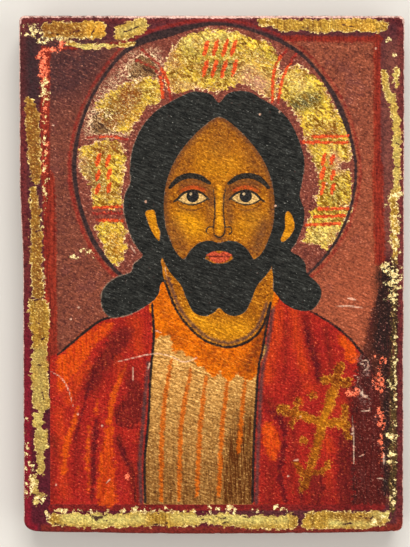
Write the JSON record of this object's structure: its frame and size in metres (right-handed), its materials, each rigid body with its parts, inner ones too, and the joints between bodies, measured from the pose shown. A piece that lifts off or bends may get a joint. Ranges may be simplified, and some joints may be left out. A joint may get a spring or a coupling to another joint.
{
  "type": "painted icon panel",
  "caption": "Small hand-cut wooden icon panel with softened, worn edges and a painted, gilded face showing a haloed bearded half-figure.",
  "frame": {"origin": "middle of the footprint of the panel lying on its back, on the surface it lies on", "axes": "+Z out of the painted face, +Y towards the top of the picture, +X to the right as the picture is seen"},
  "size_m": [0.106, 0.143, 0.014],
  "materials": {
    "painted_wood": "worn tempera and gold leaf on gessoed wood"
  },
  "bodies": {
    "root": {"wooden_panel": "painted_wood"}
  },
  "joints": []
}
